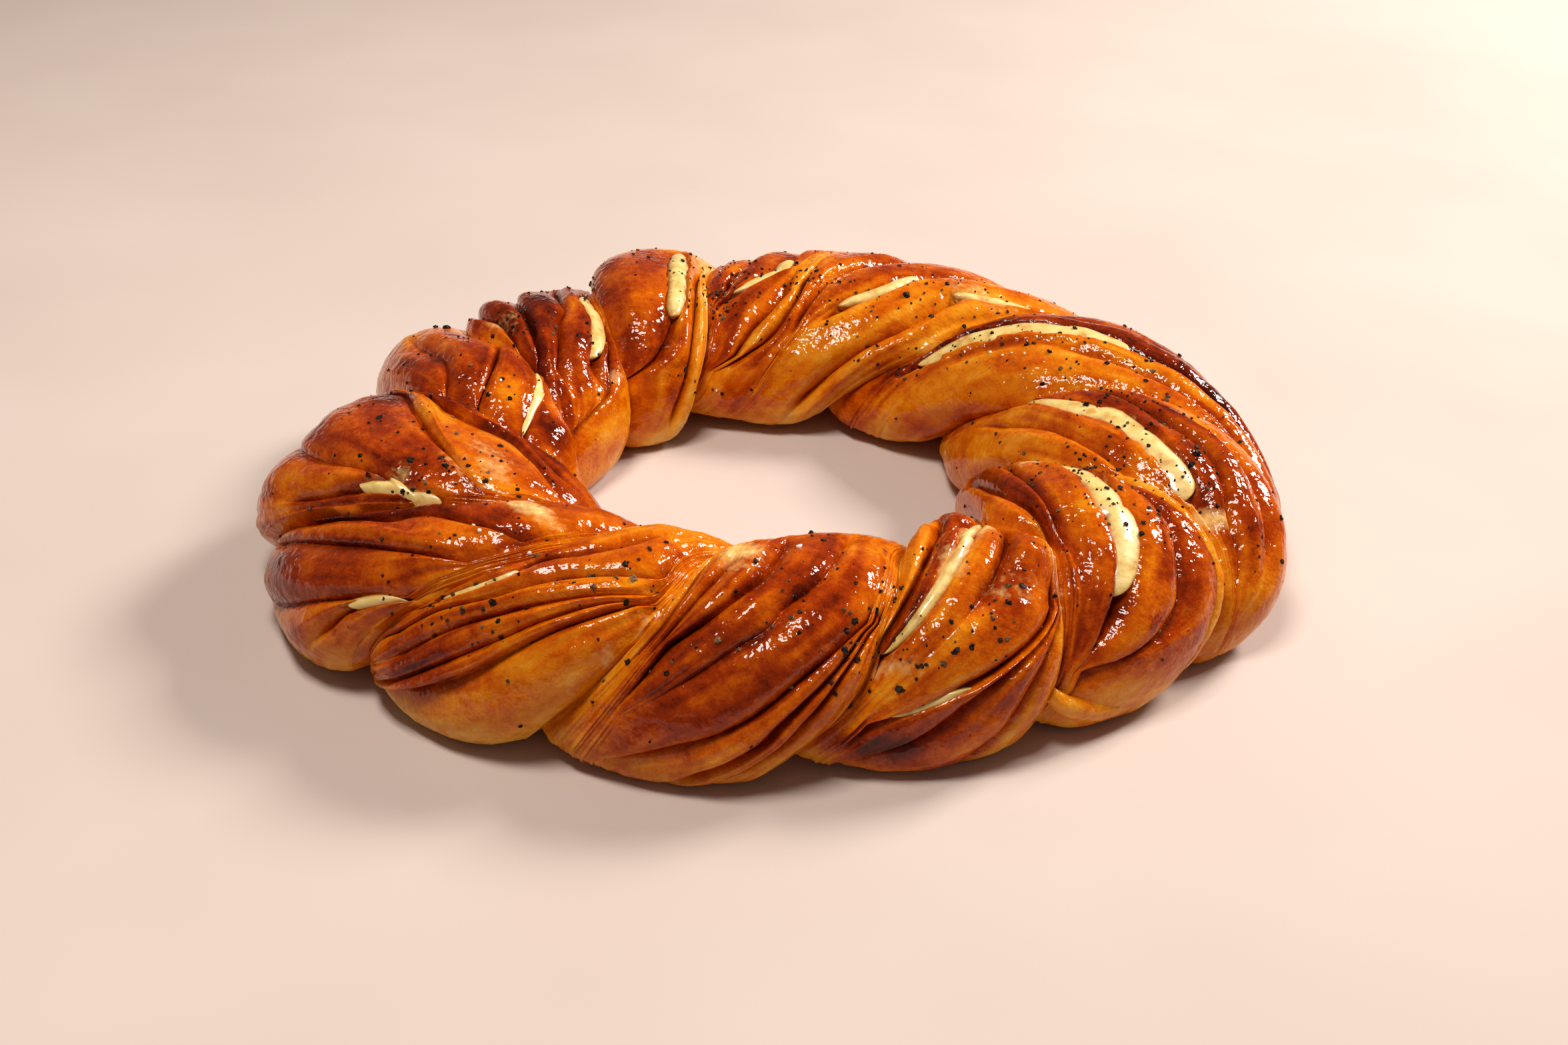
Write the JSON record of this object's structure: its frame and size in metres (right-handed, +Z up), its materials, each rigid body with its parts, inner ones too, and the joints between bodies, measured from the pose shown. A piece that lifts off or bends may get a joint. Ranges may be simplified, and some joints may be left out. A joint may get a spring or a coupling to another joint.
{
  "type": "kringle",
  "caption": "Ring-shaped kringle: two twisted strands of glazed dough, pale custard showing in the folds, crushed pepper on top.",
  "frame": {"origin": "middle of the bounding box, on the flat underside", "axes": "+Z up, -Y towards the front of the ring, +X to its right"},
  "size_m": [0.289, 0.2576, 0.0484],
  "materials": {
    "crust": "glazed, amber to dark brown",
    "custard": "smooth, pale yellow"
  },
  "bodies": {
    "root": {"dough": "crust", "filling_01": "custard", "filling_02": "custard", "filling_03": "custard", "filling_04": "custard", "filling_05": "custard", "filling_06": "custard", "filling_07": "custard", "filling_08": "custard", "filling_09": "custard", "filling_10": "custard", "filling_11": "custard", "filling_12": "custard", "filling_13": "custard", "filling_14": "custard"}
  },
  "joints": []
}
